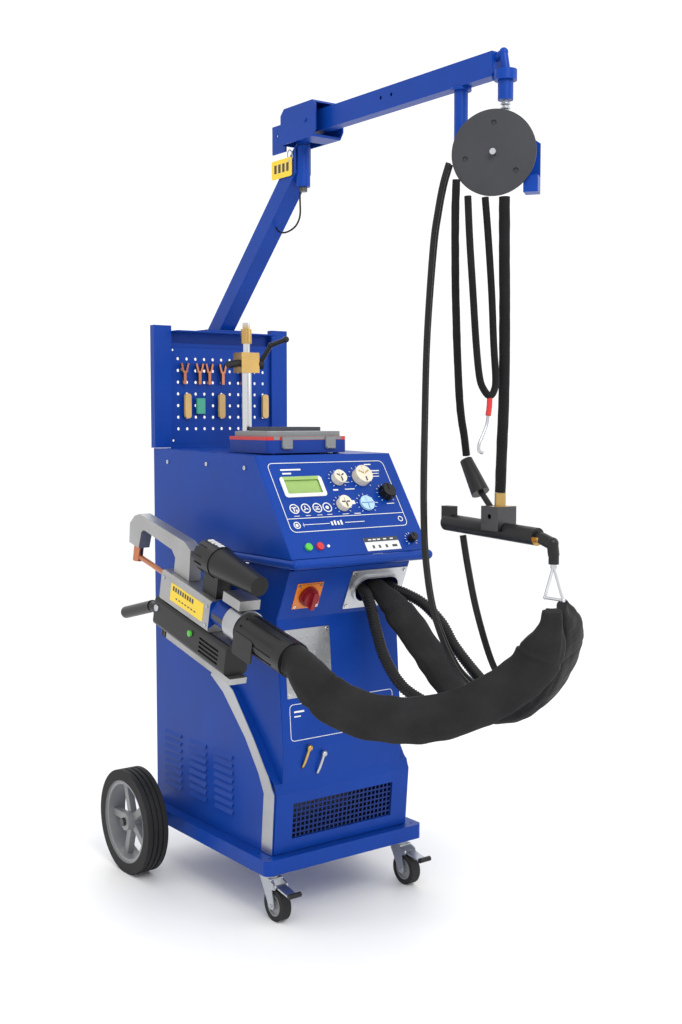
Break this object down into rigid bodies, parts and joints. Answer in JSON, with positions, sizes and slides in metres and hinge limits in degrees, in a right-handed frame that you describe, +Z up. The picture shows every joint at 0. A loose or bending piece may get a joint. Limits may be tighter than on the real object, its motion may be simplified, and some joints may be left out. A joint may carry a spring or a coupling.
{
  "type": "spot welder",
  "caption": "Wheeled spot welding cabinet with a sloped console, tool pegboard, forward boom with a balancer, and a C-arm welding gun on a padded cable sleeve.",
  "frame": {"origin": "middle of the footprint's bounding box, on the floor", "axes": "+Z up, -Y towards the front where the console and the boom face, +X towards the machine's right"},
  "size_m": [0.678, 1.2947, 1.862],
  "materials": {
    "chassis": "gloss powder coat",
    "side_panel_left": "gloss powder coat",
    "side_panel_right": "gloss powder coat",
    "side_trims": "satin",
    "front_panel": "gloss powder coat",
    "front_grille": "powder coat",
    "rear_panel": "gloss powder coat",
    "console_shell": "gloss powder coat",
    "lcd_display": "backlit display in a white bezel",
    "switch_plate": "enamel",
    "face_plates": "brushed",
    "tool_rack": "gloss powder coat",
    "electrode_set": "copper alloy",
    "boom_post": "gloss powder coat",
    "power_unit": "varnished laminations and coils",
    "cooling_fan": "moulded",
    "fasteners": "bright",
    "rear_wheel_left": "grooved rubber on a grey rim",
    "rear_wheel_right": "grooved rubber on a grey rim",
    "caster_fork_left": "zinc plated",
    "caster_fork_right": "zinc plated",
    "caster_wheel_left": "smooth",
    "caster_wheel_right": "smooth",
    "caster_brake_left": "zinc plated",
    "caster_brake_right": "zinc plated",
    "mode_knob": "cream",
    "power_knob": "cream",
    "time_knob": "knurled",
    "program_knob": "cream",
    "dial_disc": "pale blue",
    "pressure_knob": "knurled",
    "main_switch_knob": "red",
    "start_button": "green",
    "stop_button": "red",
    "case_base": "blue",
    "case_lid": "red",
    "case_latches": "dark grey",
    "puller_stand": "bright",
    "puller_lever": "black",
    "boom_arm": "gloss powder coat",
    "boom_hood": "gloss powder coat",
    "balancer_bracket": "gloss powder coat",
    "balancer_reel": "textured",
    "hanger_bar": "black with brass fittings",
    "carabiner": "bright",
    "gun_c_arm": "sand cast",
    "gun_electrode": "copper",
    "gun_body": "sand cast",
    "gun_trigger": "green",
    "gun_tail": "ribbed boot behind a clamp band",
    "sleeve_outlet": "woven sleeve",
    "sleeve_gun": "woven sleeve",
    "ribbed_hose_left": "ribbed hose",
    "ribbed_hose_right": "ribbed hose",
    "signal_line_a": "smooth jacket",
    "signal_line_b": "smooth jacket",
    "reel_cable": "woven hose cover",
    "loop_hose": "woven hose cover",
    "supply_hose": "woven hose cover",
    "drop_hose": "woven hose cover"
  },
  "bodies": {
    "frame": {"chassis": "chassis", "side_panel_left": "side_panel_left", "side_panel_right": "side_panel_right", "side_trims": "side_trims", "front_panel": "front_panel", "front_grille": "front_grille", "rear_panel": "rear_panel", "console_shell": "console_shell", "lcd_display": "lcd_display", "switch_plate": "switch_plate", "face_plates": "face_plates", "tool_rack": "tool_rack", "electrode_set": "electrode_set", "boom_post": "boom_post", "power_unit": "power_unit", "fasteners": "fasteners", "case_base": "case_base", "puller_stand": "puller_stand", "gun_c_arm": "gun_c_arm", "gun_body": "gun_body", "gun_tail": "gun_tail", "sleeve_outlet": "sleeve_outlet", "sleeve_gun": "sleeve_gun", "ribbed_hose_left": "ribbed_hose_left", "ribbed_hose_right": "ribbed_hose_right"},
    "boom": {"boom_arm": "boom_arm", "boom_hood": "boom_hood", "balancer_bracket": "balancer_bracket", "hanger_bar": "hanger_bar", "carabiner": "carabiner", "signal_line_a": "signal_line_a", "signal_line_b": "signal_line_b", "reel_cable": "reel_cable", "loop_hose": "loop_hose", "supply_hose": "supply_hose", "drop_hose": "drop_hose"},
    "reel": {"balancer_reel": "balancer_reel"},
    "rear_wheel_left": {"rear_wheel_left": "rear_wheel_left"},
    "rear_wheel_right": {"rear_wheel_right": "rear_wheel_right"},
    "caster_left": {"caster_fork_left": "caster_fork_left"},
    "caster_right": {"caster_fork_right": "caster_fork_right"},
    "caster_wheel_left": {"caster_wheel_left": "caster_wheel_left"},
    "caster_wheel_right": {"caster_wheel_right": "caster_wheel_right"},
    "caster_brake_left": {"caster_brake_left": "caster_brake_left"},
    "caster_brake_right": {"caster_brake_right": "caster_brake_right"},
    "cooling_fan": {"cooling_fan": "cooling_fan"},
    "case_lid": {"case_lid": "case_lid"},
    "case_latches": {"case_latches": "case_latches"},
    "puller_lever": {"puller_lever": "puller_lever"},
    "electrode": {"gun_electrode": "gun_electrode"},
    "trigger": {"gun_trigger": "gun_trigger"},
    "main_switch": {"main_switch_knob": "main_switch_knob"},
    "mode_knob": {"mode_knob": "mode_knob"},
    "power_knob": {"power_knob": "power_knob"},
    "time_knob": {"time_knob": "time_knob"},
    "program_knob": {"program_knob": "program_knob"},
    "dial_disc": {"dial_disc": "dial_disc"},
    "pressure_knob": {"pressure_knob": "pressure_knob"},
    "start_button": {"start_button": "start_button"},
    "stop_button": {"stop_button": "stop_button"}
  },
  "joints": [
    {"name": "boom_swing", "type": "hinge", "parent": "frame", "child": "boom", "pos_m": [0, 0.204, 1.78], "axis": [0, 0, 1], "range_deg": [-20, 20], "deforming": ["sleeve_outlet", "sleeve_gun", "ribbed_hose_left", "ribbed_hose_right", "signal_line_a", "signal_line_b", "reel_cable", "loop_hose", "supply_hose", "drop_hose"]},
    {"name": "reel_spin", "type": "hinge", "parent": "boom", "child": "reel", "pos_m": [-0.018, -0.468, 1.645], "axis": [-0.8039, -0.5948, 0], "continuous": true},
    {"name": "rear_wheel_left_spin", "type": "hinge", "parent": "frame", "child": "rear_wheel_left", "pos_m": [-0.3055, 0.517, 0.13], "axis": [1, 0, 0], "continuous": true},
    {"name": "caster_left_swivel", "type": "hinge", "parent": "frame", "child": "caster_left", "pos_m": [-0.19, 0.068, 0.11], "axis": [0, 0, 1], "continuous": true},
    {"name": "caster_left_roll", "type": "hinge", "parent": "caster_left", "child": "caster_wheel_left", "pos_m": [-0.19, 0.04, 0.0375], "axis": [1, 0, 0], "continuous": true},
    {"name": "caster_left_brake", "type": "hinge", "parent": "caster_left", "child": "caster_brake_left", "pos_m": [-0.19, 0.03, 0.082], "axis": [1, 0, 0], "range_deg": [0, 10]},
    {"name": "rear_wheel_right_spin", "type": "hinge", "parent": "frame", "child": "rear_wheel_right", "pos_m": [0.3055, 0.517, 0.13], "axis": [1, 0, 0], "continuous": true},
    {"name": "caster_right_swivel", "type": "hinge", "parent": "frame", "child": "caster_right", "pos_m": [0.19, 0.068, 0.11], "axis": [0, 0, 1], "continuous": true},
    {"name": "caster_right_roll", "type": "hinge", "parent": "caster_right", "child": "caster_wheel_right", "pos_m": [0.19, 0.04, 0.0375], "axis": [1, 0, 0], "continuous": true},
    {"name": "caster_right_brake", "type": "hinge", "parent": "caster_right", "child": "caster_brake_right", "pos_m": [0.19, 0.03, 0.082], "axis": [1, 0, 0], "range_deg": [0, 10]},
    {"name": "fan_spin", "type": "hinge", "parent": "frame", "child": "cooling_fan", "pos_m": [0, 0.568, 0.43], "axis": [0, 1, 0], "continuous": true},
    {"name": "mode_knob_turn", "type": "hinge", "parent": "frame", "child": "mode_knob", "pos_m": [0.009, 0.08175, 0.99404], "axis": [0, -0.828, 0.5607], "range_deg": [-60, 60]},
    {"name": "power_knob_turn", "type": "hinge", "parent": "frame", "child": "power_knob", "pos_m": [0.077, 0.08287, 0.99569], "axis": [0, -0.828, 0.5607], "range_deg": [-140, 140]},
    {"name": "time_knob_turn", "type": "hinge", "parent": "frame", "child": "time_knob", "pos_m": [0.133, 0.05708, 0.95761], "axis": [0, -0.828, 0.5607], "range_deg": [-140, 140]},
    {"name": "program_knob_turn", "type": "hinge", "parent": "frame", "child": "program_knob", "pos_m": [-0.005, 0.04306, 0.9369], "axis": [0, -0.828, 0.5607], "range_deg": [-90, 90]},
    {"name": "dial_disc_turn", "type": "hinge", "parent": "frame", "child": "dial_disc", "pos_m": [0.065, 0.04306, 0.9369], "axis": [0, -0.828, 0.5607], "range_deg": [-150, 150]},
    {"name": "pressure_knob_turn", "type": "hinge", "parent": "frame", "child": "pressure_knob", "pos_m": [0.154, -0.01356, 0.85327], "axis": [0, -0.828, 0.5607], "range_deg": [-135, 135]},
    {"name": "main_switch_turn", "type": "hinge", "parent": "frame", "child": "main_switch", "pos_m": [-0.105, 0.04146, 0.73675], "axis": [0, -0.9125, -0.4091], "range_deg": [0, 90]},
    {"name": "start_press", "type": "slide", "parent": "frame", "child": "start_button", "axis": [0, 0.828, -0.5607], "range_m": [0, 0.003], "stiffness_N_per_m": 400},
    {"name": "stop_press", "type": "slide", "parent": "frame", "child": "stop_button", "axis": [0, 0.828, -0.5607], "range_m": [0, 0.003], "stiffness_N_per_m": 400},
    {"name": "trigger_press", "type": "slide", "parent": "frame", "child": "trigger", "axis": [1, 0, 0], "range_m": [0, 0.003], "stiffness_N_per_m": 500},
    {"name": "electrode_stroke", "type": "slide", "parent": "frame", "child": "electrode", "axis": [0, -0.9744, -0.225], "range_m": [0, 0.03]},
    {"name": "lid_open", "type": "hinge", "parent": "frame", "child": "case_lid", "pos_m": [-0.03, 0.3214, 1.08635], "axis": [-1, 0, 0], "range_deg": [0, 90]},
    {"name": "latches_open", "type": "hinge", "parent": "frame", "child": "case_latches", "pos_m": [-0.03, 0.1367, 1.0682], "axis": [1, 0, 0], "range_deg": [0, 80]},
    {"name": "lever_turn", "type": "hinge", "parent": "frame", "child": "puller_lever", "pos_m": [-0.0185, 0.378, 1.2715], "axis": [1, 0, 0], "range_deg": [0, 40]}
  ]
}
